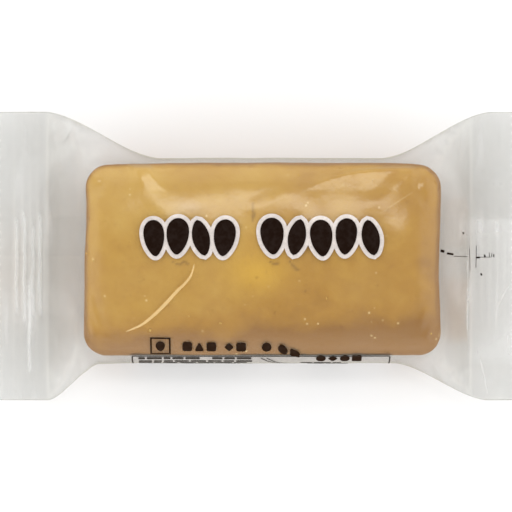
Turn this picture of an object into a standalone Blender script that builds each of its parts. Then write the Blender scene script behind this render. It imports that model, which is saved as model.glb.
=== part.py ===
"""A small corn bread loaf sealed in a clear flow-wrap pack, as one closed solid.

The film is one tube: it hugs the loaf in the middle, flares out past the loaf's
ends and closes in two flat crimped seals with pinked edges. The solid is the
space inside that film. It is a loft: each station along X is a closed section
of eight corners (a top face, two ears or side walls, a bottom face), rounded.

Frame, in metres: +X along the pack, +Y towards the back edge, +Z up. The origin
is under the middle of the pack, on the surface that it lies on.
"""

import bmesh
import bpy
import numpy as np

MM = 0.001

# Driving sizes, in millimetres.
PACK_LENGTH = 149.0
SEAL_WIDTH = 82.6
SEAL_THICKNESS = 0.7
LOAF_ENDS = (-48.9, 52.6)
FILM_TOP = 29.6
BODY_BACK = 28.1
BODY_FRONT = 30.9

# The crimped seals: where each begins, how high it stands and how it is ribbed.
SEAL_ROOTS = (-59.6, 61.4)
ROOT_HEIGHT = 11.0
TIP_HEIGHT = 9.4
RIB_PITCH = 2.2
RIB_COUNT = 5
RIB_HEIGHT = 0.35
TOOTH_PITCH = 2.36
TOOTH_DEPTH = 1.2
TOOTH_SHIFT = 0.47
SPARE_TEETH = 3
CUTTER_DEPTH = 4.8

# Where the outline leaves the body's straight sides and where it reaches full width.
FLARES = {
    ("left", "back"): (-28.0, -60.0),
    ("left", "front"): (-45.0, -59.5),
    ("right", "back"): (36.5, 67.0),
    ("right", "front"): (40.0, 66.0),
}
# How much of a flare is a straight ramp, as taut film runs.
STRAIGHT_SHARE = 0.3

# The body's section over the loaf: a domed top face, straight side walls, a flat base.
TOP_FACE_HALF = 22.5
BASE_FACE_HALF = 24.0
DOME_ACROSS = 2.6
DOME_ALONG = 2.2
WALL_HEIGHT = 12.0
WALL_MIDDLE = 12.5
# How far the faces stay inside the ears, how soon the walls thin out to ears as the
# outline flares, and how thick an ear's tip is, as a share of the seal's thickness.
FACE_INSET = 0.2
EAR_ONSET = 2.5
EAR_SHARE = 0.4

# The sloping film between the loaf's ends and the seals, in mm and as slopes.
FUNNEL_LENGTH = 16.0
TOP_SLOPE = 1.55
BASE_SLOPE = 0.95
EDGE_BLEND = 7.0
ROOT_BLEND = 1.2

# How far the seals' corners curl up: evenly, and more at the front than at the back.
CURLS = {"left": (1.2, 0.3), "right": (0.8, -1.5)}

# The mesh: fine points for rounding, then coarse points for the solid.
FINE_PER_QUARTER = 66
POINTS_PER_QUARTER = 11
FACE_SAMPLES = 12
CORNER_ROUNDING = 0.09
ROUNDING_REACH = 3
BODY_STATIONS = 25
FUNNEL_STATIONS = 8
STATIONS_PER_RIB = 4

FILM_COLOUR = (0.57, 0.35, 0.11, 1.0)
FILM_ROUGHNESS = 0.25


def smooth_min(a, b, blend):
    """The lower of two heights, rounded where they are closer than blend."""
    near = max(blend - abs(a - b), 0.0) / blend
    return min(a, b) - near * near * blend / 4


def smooth_max(a, b, blend):
    return -smooth_min(-a, -b, blend)


def mix(a, b, share):
    return a + (b - a) * share


def ease(share):
    """0 to 1 with soft ends and a straight part."""
    s = min(max(share, 0.0), 1.0)
    return mix(s * s * (3 - 2 * s), s, STRAIGHT_SHARE)


def end_of(x):
    """(name, index, direction) of the end of the pack that x lies towards."""
    return ("left", 0, -1) if x < 0 else ("right", 1, 1)


def flare(x, edge):
    """How far the outline has left the body's side: 0 over the loaf, 1 at the seal."""
    start, full = FLARES[end_of(x)[0], edge]
    return ease((x - start) / (full - start))


def half_width(x, edge):
    body = BODY_BACK if edge == "back" else BODY_FRONT
    return mix(body, SEAL_WIDTH / 2, flare(x, edge))


def inside_root(x):
    """Distance from the seal's root towards the loaf, negative out in the seal."""
    _, index, direction = end_of(x)
    return (SEAL_ROOTS[index] - x) * direction


def seal_height(x):
    """Height of the seal's middle plane, which droops a little towards the cut edge."""
    out = max(-inside_root(x), 0.0)
    length = PACK_LENGTH / 2 - abs(SEAL_ROOTS[end_of(x)[1]])
    rib = 0.0
    if 0.0 < out < RIB_PITCH * RIB_COUNT:
        rib = RIB_HEIGHT * np.sin(2 * np.pi * out / RIB_PITCH)
    return mix(ROOT_HEIGHT, TIP_HEIGHT, out / length) + rib


def top_height(x):
    middle = sum(LOAF_ENDS) / 2
    along = (x - middle) / (LOAF_ENDS[1] - middle)
    dome = FILM_TOP - DOME_ALONG * along * along
    slope = ROOT_HEIGHT + TOP_SLOPE * inside_root(x)
    film = smooth_min(dome, slope, EDGE_BLEND)
    return smooth_max(film, seal_height(x) + SEAL_THICKNESS / 2, ROOT_BLEND)


def base_height(x):
    slope = ROOT_HEIGHT - BASE_SLOPE * inside_root(x)
    film = smooth_max(0.0, slope, EDGE_BLEND)
    return smooth_min(film, seal_height(x) - SEAL_THICKNESS / 2, ROOT_BLEND)


def funnel(x):
    """0 over the loaf, rising evenly to 1 at the seal's root."""
    return min(max(1 - inside_root(x) / FUNNEL_LENGTH, 0.0), 1.0)


def curl(x, y):
    """How far the film at y is lifted, growing from the loaf's end to the cut edge."""
    name, index, direction = end_of(x)
    out = (x - LOAF_ENDS[index]) * direction
    share = ease(out / (PACK_LENGTH / 2 - abs(LOAF_ENDS[index])))
    even, tilt = CURLS[name]
    across = 2 * y / SEAL_WIDTH
    return share * (even * across**2 + tilt * across**3)


def quarter(width, face_half, face_height, dome, tip_height, wall):
    """Fine points from the ear's tip up (or down) to the middle of the top (or base) face."""
    across = np.linspace(1.0, 0.0, FACE_SAMPLES)
    face_y = face_half * across
    face_z = face_height - dome * across**2
    corners_y = np.concatenate([[width, width], face_y])
    corners_z = np.concatenate([[tip_height, tip_height + wall], face_z])
    steps = np.hypot(np.diff(corners_y), np.diff(corners_z))
    reached = np.concatenate([[0.0], np.cumsum(steps)])
    at = np.linspace(0.0, reached[-1], FINE_PER_QUARTER, endpoint=False)
    return np.stack([np.interp(at, reached, corners_y), np.interp(at, reached, corners_z)], 1)


def section(x):
    """The pack's closed section at x: (y, z) points, starting at the back ear's tip."""
    top, base = top_height(x), base_height(x)
    share = funnel(x)
    dome = DOME_ACROSS * (1 - share)
    quarters = []
    for edge, sign in (("back", 1), ("front", -1)):
        width = half_width(x, edge)
        spread = min(flare(x, edge) * EAR_ONSET, 1.0)
        wall = mix(WALL_HEIGHT, EAR_SHARE * SEAL_THICKNESS, max(spread, share)) / 2
        tip = mix(WALL_MIDDLE, seal_height(x), max(flare(x, edge), share))
        top_half = mix(TOP_FACE_HALF, width - FACE_INSET, share)
        base_half = mix(BASE_FACE_HALF, width - FACE_INSET, share)
        upper = quarter(width, top_half, top, dome, tip, wall)
        lower = quarter(width, base_half, base, 0.0, tip, -wall)
        quarters.append((upper * (sign, 1), lower * (sign, 1)))
    (back_top, back_base), (front_top, front_base) = quarters
    loop = np.concatenate(
        [back_top, turned(front_top), front_base, turned(back_base)]
    )
    loop = rounded(loop, CORNER_ROUNDING * (top - base))
    back, front = loop[:, 0].max(), loop[:, 0].min()
    loop[:, 0] *= np.where(
        loop[:, 0] > 0, half_width(x, "back") / back, -half_width(x, "front") / front
    )
    points = loop[:: FINE_PER_QUARTER // POINTS_PER_QUARTER]
    points[:, 1] += [curl(x, y) for y in points[:, 0]]
    return points


def turned(points):
    """A quarter the other way round, so that it runs from the face's middle to the tip."""
    step = points[-1] - points[-2]
    return np.concatenate([[points[-1] + step], points[:0:-1]])


def rounded(loop, radius):
    """The closed loop with its corners rounded, by a moving average of Gaussian weight."""
    spacing = np.hypot(*(np.roll(loop, -1, 0) - loop).T).mean()
    reach = int(ROUNDING_REACH * radius / spacing) + 1
    offsets = np.arange(-reach, reach + 1)
    weights = np.exp(-0.5 * (offsets * spacing / max(radius, 1e-6)) ** 2)
    weights /= weights.sum()
    return sum(w * np.roll(loop, o, 0) for o, w in zip(offsets, weights))


def stations():
    """Where the sections stand along X: dense over the ribs, sparse over the loaf."""
    step = RIB_PITCH / STATIONS_PER_RIB
    found = []
    for index, direction in ((0, -1), (1, 1)):
        root = SEAL_ROOTS[index]
        ribs = root + direction * step * np.arange(RIB_COUNT * STATIONS_PER_RIB + 1)
        funnel_end = root - direction * FUNNEL_LENGTH
        slope = np.linspace(funnel_end, root, FUNNEL_STATIONS, endpoint=False)
        found += [*slope, *ribs, direction * (PACK_LENGTH / 2 + TOOTH_DEPTH)]
    body = [root - d * FUNNEL_LENGTH for root, d in zip(SEAL_ROOTS, (-1, 1))]
    found += [*np.linspace(*body, BODY_STATIONS)[1:-1]]
    return sorted(found)


def loft(name):
    """The pack's closed mesh through all its sections, with a flat face at each end."""
    mesh = bpy.data.meshes.new(name)
    bm = bmesh.new()
    rings = []
    for x in stations():
        rings.append([bm.verts.new((x * MM, y * MM, z * MM)) for y, z in section(x)])
    count = len(rings[0])
    for ring, after in zip(rings, rings[1:]):
        for i in range(count):
            j = (i + 1) % count
            bm.faces.new((ring[i], ring[j], after[j], after[i]))
    bm.faces.new(rings[0])
    bm.faces.new(rings[-1])
    bmesh.ops.recalc_face_normals(bm, faces=bm.faces)
    bm.to_mesh(mesh)
    bm.free()
    return bpy.data.objects.new(name, mesh)


def pinking_cutter(name, direction):
    """A prism with a row of teeth on one side, which pinks the seal's cut edge."""
    teeth = int(SEAL_WIDTH / TOOTH_PITCH) + SPARE_TEETH
    start = TOOTH_SHIFT - teeth * TOOTH_PITCH / 2
    tip = PACK_LENGTH / 2
    outline = []
    for i in range(2 * teeth + 1):
        depth = TOOTH_DEPTH if i % 2 == 0 else 0.0
        outline.append(((tip - depth) * direction, start + i * TOOTH_PITCH / 2))
    far = (tip + CUTTER_DEPTH) * direction
    outline += [(far, -start), (far, start)]
    mesh = bpy.data.meshes.new(name)
    bm = bmesh.new()
    low, high = -FILM_TOP, 2 * FILM_TOP
    face = bm.faces.new([bm.verts.new((x * MM, y * MM, low * MM)) for x, y in outline])
    grown = bmesh.ops.extrude_face_region(bm, geom=[face])
    raised = [v for v in grown["geom"] if isinstance(v, bmesh.types.BMVert)]
    bmesh.ops.translate(bm, vec=(0, 0, (high - low) * MM), verts=raised)
    bmesh.ops.recalc_face_normals(bm, faces=bm.faces)
    bm.to_mesh(mesh)
    bm.free()
    cutter = bpy.data.objects.new(name, mesh)
    cutter.hide_render = True
    cutter.display_type = "WIRE"
    return cutter


def film_material():
    material = bpy.data.materials.new("wrapped_loaf")
    material.use_nodes = True
    shader = material.node_tree.nodes["Principled BSDF"]
    shader.inputs["Base Color"].default_value = FILM_COLOUR
    shader.inputs["Roughness"].default_value = FILM_ROUGHNESS
    shader.inputs["Metallic"].default_value = 0.0
    return material


def main():
    for old in list(bpy.data.objects):
        bpy.data.objects.remove(old)
    collection = bpy.context.scene.collection
    pack = loft("wrapped_cornbread")
    pack.data.materials.append(film_material())
    pack.data.shade_smooth()
    collection.objects.link(pack)
    for name, direction in (("left_pinking", -1), ("right_pinking", 1)):
        cutter = pinking_cutter(name, direction)
        collection.objects.link(cutter)
        cut = pack.modifiers.new(name, "BOOLEAN")
        cut.operation = "DIFFERENCE"
        cut.solver = "EXACT"
        cut.object = cutter


main()
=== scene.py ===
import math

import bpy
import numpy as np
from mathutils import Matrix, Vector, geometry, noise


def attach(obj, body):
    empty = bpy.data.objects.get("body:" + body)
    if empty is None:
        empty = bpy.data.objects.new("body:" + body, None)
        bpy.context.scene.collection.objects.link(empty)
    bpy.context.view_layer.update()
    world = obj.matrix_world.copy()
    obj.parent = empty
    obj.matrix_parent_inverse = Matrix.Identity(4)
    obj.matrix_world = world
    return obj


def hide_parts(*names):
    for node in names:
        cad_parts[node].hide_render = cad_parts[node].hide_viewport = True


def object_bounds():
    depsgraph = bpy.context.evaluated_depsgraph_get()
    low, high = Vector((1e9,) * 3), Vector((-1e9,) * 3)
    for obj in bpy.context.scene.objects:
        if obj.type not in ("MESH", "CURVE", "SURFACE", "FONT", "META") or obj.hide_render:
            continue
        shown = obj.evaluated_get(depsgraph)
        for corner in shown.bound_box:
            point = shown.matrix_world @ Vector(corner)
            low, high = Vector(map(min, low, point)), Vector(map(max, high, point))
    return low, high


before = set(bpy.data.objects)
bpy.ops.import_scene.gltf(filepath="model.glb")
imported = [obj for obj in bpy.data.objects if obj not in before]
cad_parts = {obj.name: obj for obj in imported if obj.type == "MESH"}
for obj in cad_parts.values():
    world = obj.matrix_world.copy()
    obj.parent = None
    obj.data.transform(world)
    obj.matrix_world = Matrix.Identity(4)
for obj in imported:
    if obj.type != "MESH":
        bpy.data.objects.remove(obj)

# The looks of a small corn bread loaf sealed in a clear flow-wrap pack, seen from above.
# The CAD model is one closed solid, the space inside the film. Here it is replaced by the
# film itself, the loaf in it, the folded fin seal on its back and the generic print on it.
# Sizes are in millimetres, in the CAD frame; MM turns them into metres when a mesh is made.

CAD_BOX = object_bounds()
CAD_LOW, CAD_HIGH = CAD_BOX
MM = 0.001

# The pack, as the CAD model has it.
PACK_LENGTH = (CAD_HIGH.x - CAD_LOW.x) / MM
SEAL_WIDTH = (CAD_HIGH.y - CAD_LOW.y) / MM
FILM_TOP = (CAD_HIGH.z - CAD_LOW.z) / MM
LOAF_ENDS = (-48.9, 52.6)
BODY_BACK = 28.1
BODY_FRONT = 30.9
SEAL_ROOTS = (-59.6, 61.4)
ROOT_HEIGHT = 11.0
TIP_HEIGHT = 9.4
FLARES = {
    ("left", "back"): (-28.0, -60.0),
    ("left", "front"): (-45.0, -59.5),
    ("right", "back"): (36.5, 67.0),
    ("right", "front"): (40.0, 66.0),
}
STRAIGHT_SHARE = 0.3
TOP_FACE_HALF = 22.5
BASE_FACE_HALF = 24.0
DOME_ACROSS = 2.6
DOME_ALONG = 2.2
WALL_HEIGHT = 12.0
WALL_MIDDLE = 12.5
FACE_INSET = 0.2
EAR_ONSET = 2.5
EAR_SHARE = 0.4
FUNNEL_LENGTH = 16.0
TOP_SLOPE = 1.55
BASE_SLOPE = 0.95
EDGE_BLEND = 7.0
ROOT_BLEND = 1.2
CURLS = {"left": (1.2, 0.3), "right": (0.8, -1.5)}
FACE_SAMPLES = 12
CORNER_ROUNDING = 0.09
ROUNDING_REACH = 3
TOOTH_DEPTH = 1.2

# What the CAD solid can't have: the film's own thickness and the fold on its back.
SEAL_THICKNESS = 0.16
BASE_LIFT = 0.35

# The film's grid: columns round the section, rows along the pack.
PER_QUARTER = 70
COLUMNS = 4 * PER_QUARTER
BODY_ROWS = 148
FUNNEL_ROWS = 44
SEAL_ROWS = 38

# The loaf.
LOAF_SIDES = (-28.3, 26.6)
LOAF_BASE = 0.75
LOAF_TOP = 28.95
LOAF_ROUNDING = 6.3
BACK_BOW = 1.0
# How the left and right ends draw in: around which y, how far each way and how deep.
WAISTS = ((12.0, 14.0, 0.5), (-6.0, 12.0, 0.6))
DROP_ALONG = 2.1
DROP_ACROSS = 3.0
FILM_GAP = 0.35


# ---- The pack's section, the same formula that the CAD solid is lofted from ----

def smooth_min(a, b, blend):
    """The lower of two heights, rounded where they are closer than blend."""
    near = max(blend - abs(a - b), 0.0) / blend
    return min(a, b) - near * near * blend / 4


def smooth_max(a, b, blend):
    return -smooth_min(-a, -b, blend)


def mix(a, b, share):
    return a + (b - a) * share


def ease(share):
    """0 to 1 with soft ends and a straight part."""
    s = np.clip(share, 0.0, 1.0)
    return mix(s * s * (3 - 2 * s), s, STRAIGHT_SHARE)


def bump(distance, reach):
    """1 at distance 0, falling smoothly to nearly 0 at twice the reach."""
    return np.exp(-((distance / reach) ** 2))


def step(low, high, value):
    """0 below low, 1 above high, smooth between."""
    s = np.clip((value - low) / (high - low), 0.0, 1.0)
    return s * s * (3 - 2 * s)


def span(value, rise, fall):
    """1 between two places, rising over the first pair and falling over the second."""
    return step(*rise, value) * (1 - step(*fall, value))


def over_loaf(x, first, full):
    """1 over the loaf: it starts first mm inside each end and is full at full mm."""
    left, right = LOAF_ENDS
    return span(x, (left + first, left + full), (right - full, right - first))


def end_of(x):
    """(name, index, direction) of the end of the pack that x lies towards."""
    return ("left", 0, -1) if x < 0 else ("right", 1, 1)


def flare(x, edge):
    """How far the outline has left the body's side: 0 over the loaf, 1 at the seal."""
    start, full = FLARES[end_of(x)[0], edge]
    return float(ease((x - start) / (full - start)))


def half_width(x, edge):
    body = BODY_BACK if edge == "back" else BODY_FRONT
    return mix(body, SEAL_WIDTH / 2, flare(x, edge))


def inside_root(x):
    """Distance from the seal's root towards the loaf, negative out in the seal."""
    _, index, direction = end_of(x)
    return (SEAL_ROOTS[index] - x) * direction


def seal_height(x):
    """Height of the seal's middle plane, which droops a little towards the cut edge."""
    out = max(-inside_root(x), 0.0)
    length = PACK_LENGTH / 2 - abs(SEAL_ROOTS[end_of(x)[1]])
    return mix(ROOT_HEIGHT, TIP_HEIGHT, out / length)


def top_height(x):
    middle = sum(LOAF_ENDS) / 2
    along = (x - middle) / (LOAF_ENDS[1] - middle)
    dome = FILM_TOP - DOME_ALONG * along * along
    slope = ROOT_HEIGHT + TOP_SLOPE * inside_root(x)
    film = smooth_min(dome, slope, EDGE_BLEND)
    return smooth_max(film, seal_height(x) + SEAL_THICKNESS / 2, ROOT_BLEND)


def base_height(x):
    slope = ROOT_HEIGHT - BASE_SLOPE * inside_root(x)
    film = smooth_max(BASE_LIFT, slope, EDGE_BLEND)
    return smooth_min(film, seal_height(x) - SEAL_THICKNESS / 2, ROOT_BLEND)


def funnel(x):
    """0 over the loaf, rising evenly to 1 at the seal's root."""
    return min(max(1 - inside_root(x) / FUNNEL_LENGTH, 0.0), 1.0)


def curl(x, y):
    """How far the film at y is lifted, growing from the loaf's end to the cut edge."""
    name, index, direction = end_of(x)
    out = (x - LOAF_ENDS[index]) * direction
    share = ease(out / (PACK_LENGTH / 2 - abs(LOAF_ENDS[index])))
    even, tilt = CURLS[name]
    across = 2 * y / SEAL_WIDTH
    return share * (even * across**2 + tilt * across**3)


def quarter(width, face_half, face_height, dome, tip_height, wall):
    """Points from the ear's tip up (or down) to the middle of the top (or base) face."""
    across = np.linspace(1.0, 0.0, FACE_SAMPLES)
    face_y = face_half * across
    face_z = face_height - dome * across**2
    corners_y = np.concatenate([[width, width], face_y])
    corners_z = np.concatenate([[tip_height, tip_height + wall], face_z])
    steps = np.hypot(np.diff(corners_y), np.diff(corners_z))
    reached = np.concatenate([[0.0], np.cumsum(steps)])
    at = np.linspace(0.0, reached[-1], PER_QUARTER, endpoint=False)
    return np.stack([np.interp(at, reached, corners_y), np.interp(at, reached, corners_z)], 1)


def turned(points):
    """A quarter the other way round, so that it runs from the face's middle to the tip."""
    last_step = points[-1] - points[-2]
    return np.concatenate([[points[-1] + last_step], points[:0:-1]])


def rounded(loop, radius):
    """The closed loop with its corners rounded, by a moving average of Gaussian weight."""
    spacing = np.hypot(*(np.roll(loop, -1, 0) - loop).T).mean()
    reach = int(ROUNDING_REACH * radius / spacing) + 1
    offsets = np.arange(-reach, reach + 1)
    weights = np.exp(-0.5 * (offsets * spacing / max(radius, 1e-6)) ** 2)
    weights /= weights.sum()
    return sum(w * np.roll(loop, o, 0) for o, w in zip(offsets, weights))


def section(x):
    """The film's closed section at x: (y, z) points, starting at the back ear's tip."""
    top, base = top_height(x), base_height(x)
    share = funnel(x)
    dome = DOME_ACROSS * (1 - share)
    quarters = []
    for edge, sign in (("back", 1), ("front", -1)):
        width = half_width(x, edge)
        spread = min(flare(x, edge) * EAR_ONSET, 1.0)
        wall = mix(WALL_HEIGHT, EAR_SHARE * SEAL_THICKNESS, max(spread, share)) / 2
        tip = mix(WALL_MIDDLE, seal_height(x), max(flare(x, edge), share))
        top_half = mix(TOP_FACE_HALF, width - FACE_INSET, share)
        base_half = mix(BASE_FACE_HALF, width - FACE_INSET, share)
        upper = quarter(width, top_half, top, dome, tip, wall)
        lower = quarter(width, base_half, base, 0.0, tip, -wall)
        quarters.append((upper * (sign, 1), lower * (sign, 1)))
    (back_top, back_base), (front_top, front_base) = quarters
    loop = np.concatenate([back_top, turned(front_top), front_base, turned(back_base)])
    loop = rounded(loop, CORNER_ROUNDING * (top - base))
    back, front = loop[:, 0].max(), loop[:, 0].min()
    loop[:, 0] *= np.where(
        loop[:, 0] > 0, half_width(x, "back") / back, -half_width(x, "front") / front
    )
    loop[:, 1] += [curl(x, y) for y in loop[:, 0]]
    return loop


def rows_along():
    """Where the film's rows stand along X, closer together towards the seals."""
    tips = (-PACK_LENGTH / 2, PACK_LENGTH / 2)
    inner = [root - d * FUNNEL_LENGTH for root, d in zip(SEAL_ROOTS, (-1, 1))]
    left_seal = np.linspace(tips[0], SEAL_ROOTS[0], SEAL_ROWS, endpoint=False)
    left_funnel = np.linspace(SEAL_ROOTS[0], inner[0], FUNNEL_ROWS, endpoint=False)
    body = np.linspace(inner[0], inner[1], BODY_ROWS, endpoint=False)
    right_funnel = np.linspace(inner[1], SEAL_ROOTS[1], FUNNEL_ROWS, endpoint=False)
    right_seal = np.linspace(SEAL_ROOTS[1], tips[1], SEAL_ROWS + 1)
    return np.concatenate([left_seal, left_funnel, body, right_funnel, right_seal])


def unstretched_film():
    """The film before it takes up its folds: rows of columns of points, in mm."""
    rows = []
    for x in rows_along():
        loop = section(x)
        rows.append(np.column_stack([np.full(len(loop), x), loop]))
    return np.array(rows)


# ---- The film's folds: the sheet is relaxed until it has its own lengths again ----

COARSENESS = (4, 2, 1)
ROUNDS = (500, 260, 60)
AROUND_SLACK = 0.02
SLACK_OFF_LOAF = 0.35
ALONG_EVENNESS = 0.35
ALONG_LIMITS = (0.985, 1.06)
UNEVENNESS = 0.022
BEND_STIFFNESS = 0.45
PUFF = 0.0002
DRAG = 0.9
SOFTENING = 1
CALMING = 44
FENCE = 2.4
FENCE_SHARE = 0.42
TIP_REACH = 9.0
TIP_GIVE = 0.2


def value_noise(points, scale, seed):
    """Smooth noise between about -1 and 1 at each point, with folds about scale mm long."""
    shift = Vector((seed * 17.3, seed * 5.1, seed * 9.7))
    flat = np.asarray(points).reshape(-1, 3) / scale
    found = np.array([noise.noise(Vector(p) + shift) for p in flat])
    return found.reshape(np.asarray(points).shape[:-1])


def pair_groups(rows, columns):
    """Pairs of grid points that a sheet ties together, in groups where no point comes twice.

    Each group is (kind, first points, second points), as indices into the flat grid.
    """
    grid = np.arange(rows * columns).reshape(rows, columns)
    after, before = np.roll(grid, -1, 1), np.roll(grid, 1, 1)
    groups = []
    for odd in (0, 1):
        count = len(grid[odd + 1 :: 2])
        groups.append(("along", grid[odd::2][:count], grid[odd + 1 :: 2]))
        groups.append(("around", grid[:, odd::2], after[:, odd::2]))
        groups.append(("slant", grid[odd::2][:count], after[odd + 1 :: 2]))
        groups.append(("slant", grid[odd::2][:count], before[odd + 1 :: 2]))
    for odd in (0, 1):
        rows_used = [i for i in range(rows - 2) if i // 2 % 2 == odd]
        columns_used = [j for j in range(columns) if j // 2 % 2 == odd]
        groups.append(("bend", grid[rows_used], grid[[i + 2 for i in rows_used]]))
        far = np.roll(grid, -2, 1)
        groups.append(("bend", grid[:, columns_used], far[:, columns_used]))
    return [(kind, a.ravel(), b.ravel()) for kind, a, b in groups]


def own_lengths(start):
    """How much longer than in the start shape the real sheet is, along and around."""
    along = np.linalg.norm(np.diff(start, axis=0), axis=2)
    evened = (along.mean(1, keepdims=True) / along) ** ALONG_EVENNESS
    evened = np.clip(evened, *ALONG_LIMITS)
    evened = np.concatenate([evened, evened[-1:]])
    share = over_loaf(start[:, :, 0], -8, 12)
    slack = 1 + AROUND_SLACK * mix(SLACK_OFF_LOAF, 1.0, share)
    uneven = UNEVENNESS * value_noise(start, 17.0, 1)
    return evened + uneven, slack - uneven


def fence_of(start):
    """How far each point may move: less near the ears' tips and between close layers."""
    columns = start.shape[1]
    mirror = (-np.arange(columns)) % columns
    gap = np.linalg.norm(start - start[:, mirror], axis=2)
    tip = np.minimum(np.arange(columns), columns - np.arange(columns))
    tip = np.minimum(tip, np.abs(np.arange(columns) - columns // 2))
    spacing = SEAL_WIDTH / 2 / (columns / 4)
    near_tip = step(0.0, TIP_REACH, tip * spacing)
    return np.minimum(FENCE, FENCE_SHARE * gap) * (TIP_GIVE + (1 - TIP_GIVE) * near_tip)


def outward(points):
    """Unit normals of the tube of points."""
    along = np.gradient(points, axis=0)
    around = np.roll(points, -1, 1) - np.roll(points, 1, 1)
    normal = np.cross(around, along)
    length = np.linalg.norm(normal, axis=2, keepdims=True)
    return normal / np.maximum(length, 1e-9)


def loaf_box():
    """Centre and half sizes of the loaf, as a rounded box."""
    low = np.array([LOAF_ENDS[0], LOAF_SIDES[0], LOAF_BASE])
    high = np.array([LOAF_ENDS[1], LOAF_SIDES[1], LOAF_TOP])
    return (low + high) / 2, (high - low) / 2


def loaf_drop(points):
    """How far the domed top lies under the box's top, and nothing for the lower half."""
    centre, half = loaf_box()
    x, y, z = ((points - centre) / half).T
    return (DROP_ALONG * x**2 + DROP_ACROSS * y**2) * step(-0.2, 0.9, z)


def clear_of_loaf(points):
    """The points, with any that lie in the loaf pushed out to its surface and the gap."""
    centre, half = loaf_box()
    core = half - LOAF_ROUNDING
    drop = loaf_drop(points)
    points[:, 2] += drop
    away = points - centre
    past = away - np.clip(away, -core, core)
    distance = np.linalg.norm(past, axis=1)
    near = (distance > 1e-6) & (distance < LOAF_ROUNDING + FILM_GAP)
    push = (LOAF_ROUNDING + FILM_GAP) / np.maximum(distance, 1e-6)
    points[near] = (centre + np.clip(away, -core, core) + past * push[:, None])[near]
    points[:, 2] -= drop
    return points


def relaxed(start, scale_along, scale_around, displaced, rounds):
    """The sheet moved from the start shape until its edges have their own lengths."""
    rows, columns, _ = start.shape
    flat_start = start.reshape(-1, 3)
    to_next_row = np.concatenate([np.diff(start, axis=0), np.zeros((1, columns, 3))])
    own_along = (to_next_row * scale_along[:, :, None]).reshape(-1, 3)
    stretch = ((scale_along + scale_around) / 2).ravel()
    groups = []
    for kind, a, b in pair_groups(rows, columns):
        step_vectors = flat_start[b] - flat_start[a]
        if kind == "along":
            rest = np.linalg.norm(own_along[a], axis=1)
        elif kind == "around":
            rest = np.linalg.norm(step_vectors, axis=1) * scale_around.ravel()[a]
        else:
            rest = np.linalg.norm(step_vectors, axis=1) * stretch[a]
        groups.append((a, b, rest, BEND_STIFFNESS if kind == "bend" else 1.0))
    x = start[:, :, 0].ravel()
    free = ((x > SEAL_ROOTS[0]) & (x < SEAL_ROOTS[1])).astype(float)
    fence = fence_of(start).ravel()
    points = (start + displaced).reshape(-1, 3)
    last = points.copy()
    for _ in range(rounds):
        puff = outward(points.reshape(start.shape)).reshape(-1, 3) * PUFF
        moved = points + (DRAG * (points - last) + puff) * free[:, None]
        last, points = points, moved
        for a, b, rest, stiffness in groups:
            delta = points[b] - points[a]
            length = np.sqrt((delta * delta).sum(1))
            weight = free[a] + free[b]
            pull = stiffness * (length - rest) / (length + 1e-9) / np.maximum(weight, 1.0)
            delta *= pull[:, None]
            points[a] += delta * free[a][:, None]
            points[b] -= delta * free[b][:, None]
        away = points - flat_start
        reach = np.linalg.norm(away, axis=1)
        points = flat_start + away * np.minimum(1.0, fence / np.maximum(reach, 1e-9))[:, None]
        points = clear_of_loaf(points)
        points[:, 2] = np.maximum(points[:, 2], np.minimum(flat_start[:, 2], BASE_LIFT))
    return points.reshape(start.shape) - start


def refined(field, rows, columns):
    """A coarse field of vectors read at twice the rows and columns."""
    finer = np.zeros((rows, field.shape[1], 3))
    finer[::2] = field
    finer[1::2] = (field[:-1] + field[1:]) / 2
    wide = np.zeros((rows, columns, 3))
    wide[:, ::2] = finer
    wide[:, 1::2] = (finer + np.roll(finer, -1, 1)) / 2
    return wide


def softened(field, passes):
    """The field with its smallest ripples averaged away, except at its two ends."""
    for _ in range(passes):
        field = (np.roll(field, 1, 1) + 2 * field + np.roll(field, -1, 1)) / 4
        inner = (field[:-2] + 2 * field[1:-1] + field[2:]) / 4
        field = np.concatenate([field[:1], inner, field[-1:]])
    return field


def folded_film():
    """The film with the soft folds that its own lengths give it, calmer over the loaf."""
    start = unstretched_film()
    along, around = own_lengths(start)
    displaced = None
    for skip, rounds in zip(COARSENESS, ROUNDS):
        coarse = start[::skip, ::skip]
        if displaced is None:
            displaced = np.zeros_like(coarse)
        else:
            displaced = refined(displaced, *coarse.shape[:2])
        count = rounds
        displaced = relaxed(
            coarse, along[::skip, ::skip], around[::skip, ::skip], displaced, count
        )
        displaced = softened(displaced, SOFTENING)
    calm = softened(displaced, CALMING)
    film = start + mix(displaced, calm, over_loaf(start[:, :, :1], 2, 12))
    return clear_of_loaf(film.reshape(-1, 3)).reshape(film.shape)


# Ridges that tension draws across the top: a chain of points, how wide the slopes on the
# chain's left and right are, and how high the crest stands at its start and at its end.
RIDGES = (
    (((-38.0, 29.0), (-31.9, 19.6), (-25.9, 12.1), (-18.0, 5.0)), (15.0, 12.0), (0.9, 0.45)),
    (((13.5, 19.2), (7.0, 16.4), (1.0, 14.2), (-5.0, 12.0)), (7.0, 3.0), (0.16, 0.16)),
    (((49.0, 28.0), (45.4, 24.6), (38.0, 18.5), (29.7, 11.7)), (6.0, 3.5), (0.35, 0.25)),
    (((40.0, -24.0), (28.0, -15.0), (17.0, -8.0)), (7.0, 4.0), (0.4, 0.2)),
)
CREST_ROUNDING = 0.10
FOOT_ROUNDING = 0.06
UNDULATION = 0.07

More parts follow.
